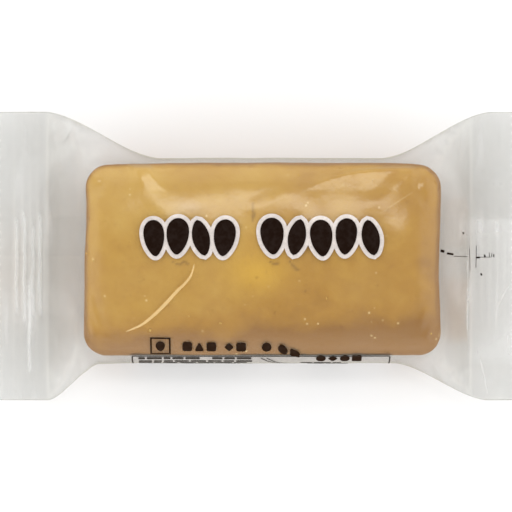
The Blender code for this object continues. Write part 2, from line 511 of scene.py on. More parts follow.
# Where the film is pulled straight from the top to the pack's back edge, off the loaf: from
# y = TAUT_FROM to TAUT_TO at the slope TAUT_SLOPE, in a band along a chain of points and
# below the line of another chain.
TAUT_FROM = 18.5
TAUT_TO = 25.0
TAUT_SLOPE = 8.0
TAUT_BAND = ((-33.6, 27.0), (-32.2, 24.6), (-29.2, 19.6), (-25.0, 15.0))
TAUT_BAND_HALF = 2.5
TAUT_LINE = ((46.0, 25.2), (34.0, 24.9), (25.4, 23.8), (18.3, 21.7), (10.4, 17.4), (-1.0, 13.0))
TAUT_END = (44.0, 46.5)


def chain_distance(x, y, chain):
    """(signed distance from the chain, left positive, and how far along it from 0 to 1)."""
    chain = np.array(chain)
    best = np.full(x.shape, 1e9)
    signed, along = np.zeros(x.shape), np.zeros(x.shape)
    for i, (a, b) in enumerate(zip(chain, chain[1:])):
        d = b - a
        t = np.clip(((x - a[0]) * d[0] + (y - a[1]) * d[1]) / (d @ d), 0, 1)
        away_x, away_y = x - a[0] - t * d[0], y - a[1] - t * d[1]
        distance = np.hypot(away_x, away_y)
        side = np.sign(d[0] * away_y - d[1] * away_x)
        nearer = distance < best
        best = np.where(nearer, distance, best)
        signed = np.where(nearer, distance * side, signed)
        along = np.where(nearer, (i + t) / (len(chain) - 1), along)
    return signed, along


def smooth_chain(chain, count=24):
    """The chain's points on one smooth curve."""
    chain = np.array(chain, float)
    reached = np.concatenate([[0], np.cumsum(np.hypot(*np.diff(chain, axis=0).T))])
    at = np.linspace(0, reached[-1], count)
    curve = []
    for k in range(2):
        slope = np.gradient(chain[:, k], reached)
        i = np.clip(np.searchsorted(reached, at, side="right") - 1, 0, len(chain) - 2)
        h = reached[i + 1] - reached[i]
        t = (at - reached[i]) / h
        a, b = chain[i, k], chain[i + 1, k]
        curve.append(
            a * (1 + 2 * t) * (1 - t) ** 2
            + b * t * t * (3 - 2 * t)
            + h * (slope[i] * t * (1 - t) ** 2 - slope[i + 1] * t * t * (1 - t))
        )
    return np.stack(curve, 1)


def tautened(film):
    """Lifts the film off the loaf's back edge where it is pulled straight."""
    x, y, z = film.transpose(2, 0, 1)
    back = slice(0, PER_QUARTER)
    start = np.array([np.interp(-TAUT_FROM, -a, b) for a, b in zip(y[:, back], z[:, back])])
    straight = start[:, None] - (y - TAUT_FROM) * math.tan(math.radians(TAUT_SLOPE))
    off_band, _ = chain_distance(x, y, smooth_chain(TAUT_BAND))
    below, along = chain_distance(x, y, smooth_chain(TAUT_LINE))
    band = 1 - step(TAUT_BAND_HALF - 0.6, TAUT_BAND_HALF + 0.6, np.abs(off_band))
    right = step(-0.5, 0.5, below) * (1 - step(*TAUT_END, x)) * (along < 1)
    share = np.maximum(band, right) * (1 - step(TAUT_TO - 0.5, TAUT_TO + 1.5, y))
    share = share * (np.arange(COLUMNS) < PER_QUARTER) * (y > TAUT_FROM)
    film[:, :, 2] += np.maximum(straight - z, 0) * share
    return film


def ridged(film):
    """Raises the tension ridges and a gentle unevenness on the film's top."""
    film = tautened(film)
    x, y = film[:, :, 0], film[:, :, 1]
    up = np.clip(outward(film)[:, :, 2], 0, 1)
    lift = np.zeros(x.shape)
    for chain, reaches, heights in RIDGES:
        signed, along = chain_distance(x, y, smooth_chain(chain))
        reach = np.where(signed > 0, *reaches)
        height = mix(*heights, along)
        slope = 1 - np.sqrt((signed / reach) ** 2 + CREST_ROUNDING**2)
        crest = np.log1p(np.exp(slope / FOOT_ROUNDING)) * FOOT_ROUNDING
        taper = span(along, (0.0, 0.3), (0.72, 1.0))
        lift += height * crest * taper
    plan = film * (1, 1, 0)
    waves = value_noise(plan, 11.0, 7) + 0.4 * value_noise(plan, 4.5, 8)
    body = span(x, (SEAL_ROOTS[0], LOAF_ENDS[0] + 4), (LOAF_ENDS[1] - 4, SEAL_ROOTS[1]))
    lift += UNDULATION * (1 + waves) * body
    film[:, :, 2] += lift * step(0.35, 0.85, up)
    return film


# ---- Meshes ----

def made_object(name, points, faces, material, slot):
    """A smooth-shaded piece from points in mm, riding on the pack."""
    mesh = bpy.data.meshes.new(name)
    mesh.from_pydata([tuple(p) for p in np.asarray(points) * MM], [], faces)
    mesh.shade_smooth()
    mesh.materials.append(material)
    piece = bpy.data.objects.new(name, mesh)
    bpy.context.scene.collection.objects.link(piece)
    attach(piece, "root")
    return piece


RIB_PITCH = 2.2
RIB_COUNT = 5
RIB_HEIGHTS = (0.2, 0.06)
RIB_WANDER = 0.35
# How strong the ribs are away from the middle of each seal, and where they are strongest.
CRIMP_EVEN = (0.2, 0.1)
CRIMP_MIDDLE = -2.0
CRIMP_REACH = 15.0


def tooth_edge(y):
    """How far out the pinked edge reaches at y."""
    pitch = SEAL_WIDTH / (COLUMNS / 8)
    phase = np.abs(2 * ((y / pitch) % 1.0) - 1)
    return PACK_LENGTH / 2 - TOOTH_DEPTH * phase


def crimped(film):
    """Presses the crimp's ribs into both seals and pinks their cut edges."""
    x, y = film[:, :, 0], film[:, :, 1]
    for index, direction in ((0, -1), (1, 1)):
        out = (x - SEAL_ROOTS[index]) * direction
        wander = RIB_WANDER * value_noise(film * (1, 0.35, 0), 12.0, 3 + index)
        ribs = np.sin(2 * np.pi * (out + wander) / RIB_PITCH)
        length = RIB_PITCH * RIB_COUNT
        inside = span(out, (-0.3, 0.5), (length - 0.4, length + 0.4))
        strength = mix(CRIMP_EVEN[index], 1.0, bump(y - CRIMP_MIDDLE, CRIMP_REACH))
        film[:, :, 2] += RIB_HEIGHTS[index] * ribs * inside * strength * (out > -0.5)
        edge = tooth_edge(y)
        last = PACK_LENGTH / 2 - 2 * TOOTH_DEPTH
        share = np.clip((direction * x - last) / (PACK_LENGTH / 2 - last), 0.0, None)
        trimmed = direction * (last + share * (edge - last))
        film[:, :, 0] = np.where(share > 0, trimmed, film[:, :, 0])
    return film


def film_faces(rows, columns):
    """The tube's quads, and its two ends closed flat."""
    grid = np.arange(rows * columns).reshape(rows, columns)
    after = np.roll(grid, -1, 1)
    quads = np.stack([grid[:-1], grid[1:], after[1:], after[:-1]], 2).reshape(-1, 4)
    faces = quads.tolist()
    half = columns // 2
    for row, turn in ((0, 1), (rows - 1, -1)):
        for j in range(half):
            k, kn = (-j) % columns, (-j - 1) % columns
            corners = [grid[row, j], grid[row, j + 1], grid[row, kn], grid[row, k]]
            corners = list(dict.fromkeys(int(c) for c in corners))
            faces.append(corners[::turn])
    return faces


def rounded_box_mesh(spacing):
    """Points and faces of the loaf's rounded box, an even grid on each side."""
    centre, half = loaf_box()
    counts = [int(2 * h / spacing) for h in half]
    index = {}
    points, faces = [], []

    def corner(cell):
        if cell not in index:
            index[cell] = len(points)
            points.append([2 * c / n - 1 for c, n in zip(cell, counts)])
        return index[cell]

    for axis in range(3):
        u, v = (axis + 1) % 3, (axis + 2) % 3
        for side in (0, counts[axis]):
            for a in range(counts[u]):
                for b in range(counts[v]):
                    quad = []
                    for da, db in ((0, 0), (1, 0), (1, 1), (0, 1)):
                        cell = [0, 0, 0]
                        cell[axis], cell[u], cell[v] = side, a + da, b + db
                        quad.append(corner(tuple(cell)))
                    faces.append(quad if side else quad[::-1])
    box = np.array(points) * half
    core = half - LOAF_ROUNDING
    inner = np.clip(box, -core, core)
    past = box - inner
    length = np.linalg.norm(past, axis=1, keepdims=True)
    out = past / np.maximum(length, 1e-9)
    points = centre + inner + out * LOAF_ROUNDING
    points[:, 2] -= loaf_drop(points)
    return points, out, faces


LOAF_SPACING = 0.55
SWELL = 0.28
DIMPLE = 0.09
PIT_COUNT = 230
# The pits' least radius and depth, and how much more the largest have.
PIT_RADIUS = (0.35, 0.75)
PIT_DEPTH = (0.16, 0.34)
SINK_LIMITS = (-0.3, 1.2)
CRACK_WIDTH = 0.42
CRACK_DEPTH = 0.22
CRACK_WOBBLE = 0.4
# What lies this far below the loaf's highest point still belongs to its top.
TOP_DEPTH = 8
# How dark the crust is baked, from 0 to 1: all over, in patches (strength, size and seed),
# at the top's rim, on the sides, towards the right end, the back edge and the front edge.
# The rim, sides and right end are baked darker and also carry painted shade; the slope
# from back to front and the front edge are painted shade, darker where less light falls.
BAKED_EVENLY = 0.50
BAKED_PATCHES = ((0.17, 15.0, 25), (0.08, 5.0, 26))
RIM_BAKE_AND_SHADE = 0.05
SIDES_BAKE_AND_SHADE = 0.72
RIGHT_BAKE_AND_SHADE = 0.17
PAINTED_SHADE_TOWARDS_BACK = -0.14
PAINTED_SHADE_AT_FRONT = 0.44
# The yellow patch on the top: its middle, its reach and how much longer it is along X.
YELLOW_PLACE = (0.5, -4.5)
YELLOW_REACH = 5.5
YELLOW_STRETCH = 1.5
CRACKS = (
    ((-23.5, -1.6), (-21.8, -2.4), (-20.2, -1.7), (-18.6, -2.5)),
    ((3.9, -1.5), (5.4, -2.3), (7.0, -1.7)),
    ((9.6, -1.8), (10.9, -3.2), (12.6, -4.3)),
    ((-0.9, 14.8), (-0.6, 12.2), (-1.1, 9.4)),
)


def crack_field(points):
    """How strongly each point belongs to one of the short cracks in the top."""
    x, y, z = points.T
    wobble = CRACK_WOBBLE * value_noise(points, 1.3, 24)
    crack = np.zeros(len(points))
    for chain in CRACKS:
        signed, along = chain_distance(x, y, smooth_chain(chain))
        thin = CRACK_WIDTH * np.sin(np.pi * np.clip(along, 0.02, 0.98)) ** 0.5
        crack = np.maximum(crack, bump(signed + wobble, thin) * (z > LOAF_TOP - TOP_DEPTH))
    return crack


def sunk_field(points):
    """How far the crust lies under the plain form, from its swells, dimples and pits."""
    sink = -SWELL * value_noise(points, 19.0, 21)
    sink -= DIMPLE * value_noise(points, 4.2, 22)
    sink -= 0.4 * DIMPLE * value_noise(points, 1.5, 23)
    dice = np.random.default_rng(5)
    for at in dice.integers(0, len(points), PIT_COUNT):
        radius = PIT_RADIUS[0] + PIT_RADIUS[1] * dice.random() ** 2
        depth = PIT_DEPTH[0] + PIT_DEPTH[1] * dice.random()
        sink += depth * bump(np.linalg.norm(points - points[at], axis=1), radius)
    return sink


def bake_and_shade_field(points, plain, out):
    """How dark each point is baked, with painted shade on its rim, sides, right end and front, from
    its place before and after the crust has sunk.
    """
    centre, half = loaf_box()
    along, across = ((plain - centre) / half)[:, :2].T
    rim = step(0.80, 0.98, np.abs((points - centre) / half)[:, :2].max(1))
    # The rim and sides are baked darker and also carry painted shade.
    dark = BAKED_EVENLY + RIM_BAKE_AND_SHADE * rim + SIDES_BAKE_AND_SHADE * (1 - step(0.20, 0.72, out[:, 2]))
    # Painted shade: darker towards the front and at the front edge, where less light falls; the
    # right end is darker partly as painted shade.
    dark += RIGHT_BAKE_AND_SHADE * along + PAINTED_SHADE_TOWARDS_BACK * across + PAINTED_SHADE_AT_FRONT * step(0.50, 0.92, -across)
    for strength, size, seed in BAKED_PATCHES:
        dark += strength * value_noise(points, size, seed)
    return np.minimum(dark, 1.0)


def baked_loaf():
    """The loaf's mesh with its swells, pits and cracks, and what its colour depends on."""
    plain, out, faces = rounded_box_mesh(LOAF_SPACING)
    x, y, z = plain.T
    crack = crack_field(plain)
    sink = sunk_field(plain) + CRACK_DEPTH * crack
    points = plain - out * np.clip(sink, *SINK_LIMITS)[:, None]
    centre, half = loaf_box()
    points[:, 1] -= BACK_BOW * ((x - centre[0]) / half[0]) ** 4 * step(0, half[1], y)
    for direction, (place, reach, depth) in zip((-1, 1), WAISTS):
        near_end = step(0.6 * half[0], half[0], direction * (x - centre[0]))
        points[:, 0] -= direction * depth * near_end * bump(y - place, reach)
    away = np.hypot((x - YELLOW_PLACE[0]) / YELLOW_STRETCH, y - YELLOW_PLACE[1])
    yellow = bump(away, YELLOW_REACH) * (z > LOAF_TOP - TOP_DEPTH)
    dark = bake_and_shade_field(points, plain, out)
    return points, faces, {"baked_and_shaded": dark, "yellow": yellow, "crack": crack}


# The crumbs' places on the loaf's top, and their least radius and how much it varies.
CRUMBS = (
    (-48.0, 0.7), (-46.0, -1.4), (-18.9, -17.0), (49.6, -22.0), (-35.8, 4.0),
    (-30.0, -21.0), (12.0, 23.0), (33.0, 21.5), (-10.0, -19.0), (20.0, -12.0),
)
CRUMB_RADIUS = (0.24, 0.14)
CRUMB_RINGS, CRUMB_AROUND = 5, 8


def crumb_lumps():
    """Small crumbs on the loaf's top, under the film: rough, uneven balls."""
    dice = np.random.default_rng(11)
    radii = [CRUMB_RADIUS[0] + CRUMB_RADIUS[1] * dice.random() for _ in CRUMBS]
    points, faces = [], []
    for (x, y), radius in zip(CRUMBS, radii):
        place = (x, y, LOAF_TOP - loaf_drop(np.array([[x, y, LOAF_TOP]]))[0])
        base = len(points)
        stretch = 0.7 + 0.6 * dice.random(3)
        for i in range(CRUMB_RINGS + 1):
            tilt = math.pi * i / CRUMB_RINGS
            for j in range(CRUMB_AROUND):
                turn = 2 * math.pi * j / CRUMB_AROUND
                level = math.sin(tilt)
                ball = (level * math.cos(turn), level * math.sin(turn), math.cos(tilt))
                rough = radius * (0.8 + 0.4 * dice.random())
                points.append([c + b * rough * k for c, b, k in zip(place, ball, stretch)])
        for i in range(CRUMB_RINGS):
            a, b = base + i * CRUMB_AROUND, base + (i + 1) * CRUMB_AROUND
            for j in range(CRUMB_AROUND):
                k = (j + 1) % CRUMB_AROUND
                faces.append([a + j, b + j, b + k, a + k])
    return points, faces


# ---- Print ----
# Simple shapes in the film's own flat coordinates, x along and s across from the top's
# middle. Dark ink lies just over the film's surface, and white ink just under it.

INK_DEPTH = -0.04
WHITE_DEPTH = 0.11
INK_GRAIN = 0.7
OUTLINE = 1.15
SHAPE_HEIGHT = 10.2


class Film:
    """Finds points on the folded film from its flat coordinates."""

    def __init__(self, points):
        self.points = points
        self.normals = outward(points)
        self.rows = rows_along()
        middle = points[len(points) // 2]
        around = np.linalg.norm(np.roll(middle, -1, 0) - middle, axis=1).sum()
        self.pitch = around / COLUMNS

    def at(self, x, s, depth):
        """The points at x and s, depth mm under the film's outer surface."""
        row = np.interp(x, self.rows, np.arange(len(self.rows)))
        column = (PER_QUARTER - np.asarray(s) / self.pitch) % COLUMNS
        i = np.clip(row.astype(int), 0, len(self.rows) - 2)
        j = column.astype(int) % COLUMNS
        u, v = (row - i)[:, None], (column - column.astype(int))[:, None]
        k = (j + 1) % COLUMNS
        found = []
        for field in (self.points, self.normals):
            low = field[i, j] * (1 - v) + field[i, k] * v
            high = field[i + 1, j] * (1 - v) + field[i + 1, k] * v
            found.append(low * (1 - u) + high * u)
        return found[0] - found[1] * np.asarray(depth)[..., None]

    def across(self, x, y):
        """The s of the points of the film's top at x and y."""
        top = self.points[:, PER_QUARTER // 2 : 2 * PER_QUARTER]
        places = np.arange(PER_QUARTER // 2, 2 * PER_QUARTER)
        found = []
        for along, wanted in zip(x, y):
            row = int(np.searchsorted(self.rows, along))
            line = top[min(row, len(top) - 1), :, 1]
            found.append(np.interp(-wanted, -line, places))
        return (PER_QUARTER - np.array(found)) * self.pitch


def rounded_polygon(corners, radius, arc=7):
    """A convex polygon's outline, anticlockwise, with round corners."""
    corners = np.array(corners, float)
    outline = []
    for before, at, after in zip(np.roll(corners, 1, 0), corners, np.roll(corners, -1, 0)):
        a, b = before - at, after - at
        a, b = a / np.linalg.norm(a), b / np.linalg.norm(b)
        half = math.acos(np.clip(a @ b, -1, 1)) / 2
        centre = at + (a + b) / np.linalg.norm(a + b) * radius / math.sin(half)
        first = math.atan2(*(at + a * radius / math.tan(half) - centre)[::-1])
        turn = math.pi - 2 * half
        for angle in np.linspace(first, first + turn, arc):
            outline.append(centre + radius * np.array([math.cos(angle), math.sin(angle)]))
    return np.array(outline)


def oval(width, height, count=40):
    turn = np.linspace(0, 2 * np.pi, count, endpoint=False)
    return np.stack([width / 2 * np.cos(turn), height / 2 * np.sin(turn)], 1)


def kernel(width, height, count=44):
    """A corn kernel: a broad rounded crown that narrows to a blunt foot."""
    turn = np.linspace(0, 2 * np.pi, count, endpoint=False)
    up = np.sin(turn)
    across = np.cos(turn) * (1 + 0.24 * up - 0.10 * up**2)
    return np.stack([width / 2 * across, height / 2 * np.sign(up) * np.abs(up) ** 0.9], 1)


def leaf(width, height, count=22):
    """A husk leaf: two arcs that meet in a rounded point at each end."""
    up = np.linspace(-1, 1, count)
    half = width / 2 * np.sqrt(np.clip(1 - up**2, 0, 1)) * (1 - 0.25 * up**2)
    right = np.stack([half, up * height / 2], 1)
    left = np.stack([-half[-2:0:-1], up[-2:0:-1] * height / 2], 1)
    return np.concatenate([right, left])


def diamond(width, height):
    corners = [(0, -height / 2), (width / 2, 0), (0, height / 2), (-width / 2, 0)]
    return rounded_polygon(corners, width * 0.16)


def wedge(width, height):
    corners = [(-width / 2, -height / 2), (width / 2, -height / 2), (0, height * 0.62)]
    return rounded_polygon(corners, width * 0.15)


def rectangle(width, height, radius, arc=7):
    w, h = width / 2, height / 2
    return rounded_polygon([(-w, -h), (w, -h), (w, h), (-w, h)], radius, arc)


def block(width, height):
    return rectangle(width, height, min(width, height) * 0.24, 4)


def grown(outline, by):
    """The outline moved out along its normals."""
    ahead, behind = np.roll(outline, -1, 0), np.roll(outline, 1, 0)
    along = ahead - behind
    normal = np.stack([along[:, 1], -along[:, 0]], 1)
    return outline + by * normal / np.linalg.norm(normal, axis=1, keepdims=True)


def placed(outline, x, s, tilt=0.0):
    """The outline turned by tilt degrees and moved to x, s."""
    c, d = math.cos(math.radians(tilt)), math.sin(math.radians(tilt))
    return outline @ np.array([[c, d], [-d, c]]) + (x, s)


def within(points, outline):
    """Which points lie inside the outline, by counting crossings."""
    inside = np.zeros(len(points), bool)
    for a, b in zip(outline, np.roll(outline, -1, 0)):
        crosses = (a[1] > points[:, 1]) != (b[1] > points[:, 1])
        reach = a[0] + (points[:, 1] - a[1]) * (b[0] - a[0]) / (b[1] - a[1] + 1e-12)
        inside ^= crosses & (points[:, 0] < reach)
    return inside


def divided(outline, longest):
    """The outline with more points along its long straight edges."""
    points = []
    for a, b in zip(outline, np.roll(outline, -1, 0)):
        count = max(1, math.ceil(np.linalg.norm(b - a) / longest))
        points += [a + (b - a) * k / count for k in range(count)]
    return np.array(points)


def filled(outlines, grain):
    """Points and triangles that fill the outlines' union, fine enough to bend."""
    outlines = [divided(outline, grain) for outline in outlines]
    every = np.concatenate(outlines)
    low, high = every.min(0), every.max(0)
    xs = np.arange(low[0], high[0], grain)
    ys = np.arange(low[1], high[1], grain)
    lattice = np.stack(np.meshgrid(xs, ys), -1).reshape(-1, 2)
    lattice[:, 0] += np.where(np.round((lattice[:, 1] - low[1]) / grain) % 2, grain / 2, 0)
    inside = np.zeros(len(lattice), bool)
    for outline in outlines:
        inside |= within(lattice, grown(outline, -0.3 * grain))
    points = [Vector(p) for p in every] + [Vector(p) for p in lattice[inside]]
    loops, first = [], 0
    for outline in outlines:
        loops.append(list(range(first, first + len(outline))))
        first += len(outline)
    flat, _, faces, _, _, owners = geometry.delaunay_2d_cdt(points, [], loops, 1, 1e-4)
    faces = [face for face, owned in zip(faces, owners) if owned]
    return np.array([tuple(p) for p in flat]), faces


def add_print(film, name, outlines, depth, material, slot, sag=None):
    """One ink's shapes as a thin mesh that follows the film."""
    flat, faces = filled(outlines, INK_GRAIN)
    x, s = flat.T
    if sag is not None:
        s = s + sag(x)
    points = film.at(x, s, depth)
    a, b, c = (points[[f[k] for f in faces]] for k in range(3))
    facing = np.cross(b - a, c - a)
    row = np.interp(x[[f[0] for f in faces]], film.rows, np.arange(len(film.rows)))
    column = (PER_QUARTER - s[[f[0] for f in faces]] / film.pitch) % COLUMNS
    normal = film.normals[row.astype(int), column.astype(int) % COLUMNS]
    flip = (facing * normal).sum(1) < 0
    faces = [f[::-1] if turn else f for f, turn in zip(faces, flip)]
    return made_object(name, points, faces, material, slot)


# The large shapes, in two groups: where a group starts, its pitch, and each shape's form,
# width and tilt.
GROUPS = (
    (-32.0, 6.6, ((kernel, 5.7, 5), (kernel, 6.2, -4), (leaf, 4.9, 13), (kernel, 6.0, -7))),
    (1.1, 6.95, (
        (kernel, 6.4, 4), (leaf, 5.0, -12), (kernel, 6.2, 5), (kernel, 5.9, -5), (leaf, 5.0, 11)
    )),
)
GROUP_MIDDLE = 5.3
GROUP_UNEVENNESS = 0.3


def big_shapes():
    """The outlines of the large dark shapes."""
    outlines = []
    for first, pitch, group in GROUPS:
        for i, (form, width, tilt) in enumerate(group):
            x = first + pitch * (i + 0.5)
            s = GROUP_MIDDLE + GROUP_UNEVENNESS * math.sin(2.1 * i + first)
            outlines.append(placed(form(width, SHAPE_HEIGHT), x, s, tilt))
    return outlines


SMALL_SIZE = (2.75, 3.2)
SMALL_PITCH = 3.4
SMALL_S = -25.0
SAG = 6.0
SAG_FROM, SAG_TO = 4.0, 18.5
# Where each group of the small line starts, how tall it is and its shapes.
SMALL_GROUPS = (
    (-19.4, 1.0, (block, wedge, block)),
    (-7.6, 1.0, (diamond, block)),
    (3.0, 1.0, (oval,)),
    (7.6, 1.1, (oval, block)),
    (18.4, 1.5, (oval, diamond, oval, block)),
)
# The small mark: a kernel in a square frame.
MARK_PLACE = (-27.0, -25.0)
MARK_SIZE = 5.8
MARK_LINE = 0.5
MARK_KERNEL = (2.6, 3.4, 20)


def sagging(x):
    """How far the small print has slid down the front with the film's fold."""
    return -SAG * step(SAG_FROM, SAG_TO, x)


def small_shapes():
    """The outlines of the small line of shapes and of the framed mark before it."""
    outlines = []
    width, height = SMALL_SIZE
    for first, taller, group in SMALL_GROUPS:
        for i, form in enumerate(group):
            shape = form(width, height * taller)
            outlines.append(placed(shape, first + SMALL_PITCH * i, SMALL_S))
    x, s = MARK_PLACE
    reach = (MARK_SIZE - MARK_LINE) / 2
    for side in (-1, 1):
        outlines.append(placed(block(MARK_SIZE, MARK_LINE), x, s + side * reach))
        outlines.append(placed(block(MARK_LINE, MARK_SIZE), x + side * reach, s))
    outlines.append(placed(kernel(*MARK_KERNEL), x, s))
    return outlines


# Small dark specks and strokes in the right funnel: x, s, length, width and tilt.
SPECKS = (
    (52.9, 1.3, 1.2, 0.7, -14.0),
    (55.1, 0.6, 1.9, 0.55, -8.0),
    (58.2, -0.1, 4.2, 0.16, -3.0),
    (58.9, 6.3, 0.5, 0.5, 0.0),
    (61.1, -0.8, 0.16, 6.4, 2.0),
    (63.1, -0.2, 0.18, 6.0, -1.0),
    (63.7, -0.4, 1.1, 0.45, 0.0),
    (65.6, 0.0, 0.45, 0.85, 12.0),
    (65.4, -0.3, 3.9, 0.16, 0.0),
    (66.9, 0.3, 0.18, 1.3, 4.0),
    (67.6, 0.2, 0.2, 1.0, -3.0),
    (68.2, 0.1, 0.3, 0.8, 0.0),
    (64.6, -5.0, 0.45, 0.7, 20.0),
)

# The pale panel, the lines that frame it, and the rows of dashes on it.
PANEL_X = (-35.6, 38.4)
PANEL_S = (-56.0, -29.2)
PANEL_CORNER = 0.8
PANEL_LINE = 0.35
PANEL_TOP_LINE = 0.45
FRAME_INSET = 0.5
TOP_INSET = 0.35
FIRST_ROW = 1.7
ROW_PITCH = 2.5
ROW_HEIGHT = 1.35
ROW_MARGIN = 2.2
ROWS_END = 24.0
DASH = (1.6, 3.4)
DASH_GAP = 0.5
WIDE_GAP = 3.0
WIDE_SHARE = 0.15
# Two slanted lines across the panel's upper half: where each starts and ends in x.
SWEEPS = ((1.4, 9.6), (3.0, 11.2))
SWEEP_RISE = 1.5
SWEEP_DROP = 0.6
# No dashes where the small line's last group has slid down over the panel: x, x and s.
LAST_GROUP = (15.6, 32.5, -35.4)


def frame_lines():
    """The four lines that frame the panel, and the two slanted lines across it."""
    left, right = PANEL_X
    low, high = PANEL_S
    middle, centre = (low + high) / 2, (left + right) / 2
    upright = block(PANEL_LINE, high - low - 2 * FRAME_INSET)
    length = right - left - 2 * FRAME_INSET
    outlines = [
        placed(upright, left + FRAME_INSET, middle),
        placed(upright, right - FRAME_INSET, middle),
        placed(block(length, PANEL_TOP_LINE), centre, high - TOP_INSET),
        placed(block(length, PANEL_LINE), centre, low + FRAME_INSET),
    ]
    rise = high - middle - SWEEP_RISE
    for start, end in SWEEPS:
        slope = math.degrees(math.atan2(rise, start - end))
        sweep = block(math.hypot(rise, end - start), PANEL_LINE)
        x, s = (start + end) / 2, (high + middle) / 2 - SWEEP_DROP
        outlines.append(placed(sweep, x, s, slope))
    return outlines


def panel_rows():
    """Dark lines on the panel: its frame and rows of dashes, clear of what crosses them."""
    outlines = frame_lines()
    dice = np.random.default_rng(3)
    s = PANEL_S[1] - FIRST_ROW
    while s > PANEL_S[0] + 2.0:
        x = PANEL_X[0] + ROW_MARGIN
        while x < ROWS_END:
            length = DASH[0] + DASH[1] * dice.random()
            end = x + length
            clear = end < SWEEPS[0][0] - 1.5 or x > SWEEPS[1][1] + 1.5
            crowded = end > LAST_GROUP[0] and x < LAST_GROUP[1] and s > LAST_GROUP[2]
            if clear and not crowded:
                outlines.append(placed(block(length, ROW_HEIGHT), x + length / 2, s))
            x = end + DASH_GAP + (WIDE_GAP if dice.random() < WIDE_SHARE else 0.0)
        s -= ROW_PITCH
    return outlines


def add_prints(film):
    """All the print, ink by ink, and the dark specks in the right funnel."""
    dark = ink_material("dark_ink", (0.012, 0.006, 0.004))
    brown = ink_material("brown_ink", (0.022, 0.011, 0.006))
    white = ink_material("white_ink", (0.74, 0.67, 0.63))
    # The panel's grey: pale ink darkened partly as painted shade on the pack's front wall.
    grey = ink_material("panel_ink_and_shade", (0.50, 0.465, 0.445))
    pale_dark = ink_material("panel_line_ink", (0.050, 0.042, 0.036))
    big = big_shapes()
    outlined = [grown(outline, OUTLINE) for outline in big]
    add_print(film, "print_shapes", big, INK_DEPTH, dark, "print_dark")
    add_print(film, "print_outline", outlined, WHITE_DEPTH, white, "print_white")
    add_print(film, "print_small", small_shapes(), INK_DEPTH, brown, "print_dark", sagging)
    sheet = rectangle(PANEL_X[1] - PANEL_X[0], PANEL_S[1] - PANEL_S[0], PANEL_CORNER)
    panel = [placed(sheet, sum(PANEL_X) / 2, sum(PANEL_S) / 2)]
    add_print(film, "print_panel", panel, WHITE_DEPTH, grey, "print_white")
    add_print(film, "print_panel_lines", panel_rows(), INK_DEPTH, pale_dark, "print_dark")
    # Dark specks and strokes in the right funnel, in dark ink.
    specks = [placed(block(long, wide), x, s, tilt) for x, s, long, wide, tilt in SPECKS]
    add_print(film, "funnel_dark_specks", specks, INK_DEPTH, dark, "print_dark")


# ---- Pleats: sharp little folds in the film that catch the light, made milky as painted highlights ----

PLEAT_HEIGHT = 0.10
PLEAT_EDGE = 0.02
PLEAT_STEPS = 40
# Each pleat: its points in plan and its width.
LOAF_PLEATS = (
    ((
        (-17.4, -2.4), (-18.3, -5.4), (-22.6, -10.3), (-28.9, -16.8), (-32.0, -19.3), (-36.6, -21.4)
    ), 0.9),
    (((44.6, 18.3), (40.0, 15.4), (35.1, 12.0)), 0.14),
)
END_PLEATS = (
    (((68.6, 39.2), (68.9, 36.6)), 0.5),
    (((67.9, 34.8), (68.2, 31.5), (67.8, 28.7)), 0.5),
    (((69.7, 33.4), (70.5, 30.0), (70.5, 27.2)), 0.45),
    (((60.0, 1.0), (60.4, -8.0), (60.2, -21.0)), 0.4),
    (((73.2, -8.0), (71.0, -11.0), (68.9, -15.6)), 0.5),
    (((63.2, -26.6), (65.0, -33.0), (66.3, -39.6)), 0.5),
    (((-66.3, 41.0), (-65.9, 36.0)), 0.4),
)


def pleat_mesh(film, pleats):
    """Narrow tents that stand just off the film's top and thin out at both ends."""
    points, faces = [], []
    for chain, width in pleats:
        x, y = smooth_chain(chain, PLEAT_STEPS).T
        s = film.across(x, y)
        turn = np.stack([-np.gradient(s), np.gradient(x)], 1)
        turn /= np.linalg.norm(turn, axis=1, keepdims=True)
        size = np.sin(np.pi * np.linspace(0.04, 0.96, PLEAT_STEPS)) ** 0.6
        strip = []
        for side, height in ((-0.5, PLEAT_EDGE), (0.0, PLEAT_HEIGHT), (0.5, PLEAT_EDGE)):
            along, across = (turn * (side * width * size)[:, None]).T
            strip.append(film.at(x + along, s + across, -height * size))
        first = len(points) * PLEAT_STEPS
        points += strip
        for i in range(PLEAT_STEPS - 1):
            for k in (0, 1):
                a = first + k * PLEAT_STEPS + i
                faces.append((a, a + PLEAT_STEPS, a + PLEAT_STEPS + 1, a + 1)[::-1])
    return np.concatenate(points), faces


# ---- The fin seal, folded flat on the pack's back ----

FIN_COLUMNS = 19
FIN_GAP = 0.10
FIN_LOOSENESS = 0.9


def fin_mesh(film):
    """Points and faces of the folded fin: a sheet that follows the film's back."""
    rows = len(film.points)
    used = 3 * PER_QUARTER + np.arange(FIN_COLUMNS + 1)
    base, out = film.points[:, used], film.normals[:, used]
    x = base[:, :, 0]
    left, right = SEAL_ROOTS
    loose = span(x, (left - 1, left + 5), (right - 5, right + 1)) * (1 - over_loaf(x, -6, 2))
    share = np.linspace(0, 1, FIN_COLUMNS + 1)
    wave = (0.5 + 0.5 * value_noise(base, 9.0, 31)) * loose * share
    sheet = base + out * (FIN_GAP + FIN_LOOSENESS * wave)[:, :, None]
    grid = np.arange(rows * (FIN_COLUMNS + 1)).reshape(rows, FIN_COLUMNS + 1)
    corners = [grid[:-1, :-1], grid[1:, :-1], grid[1:, 1:], grid[:-1, 1:]]
    return sheet.reshape(-1, 3), np.stack(corners, 2).reshape(-1, 4).tolist()


# ---- Materials ----

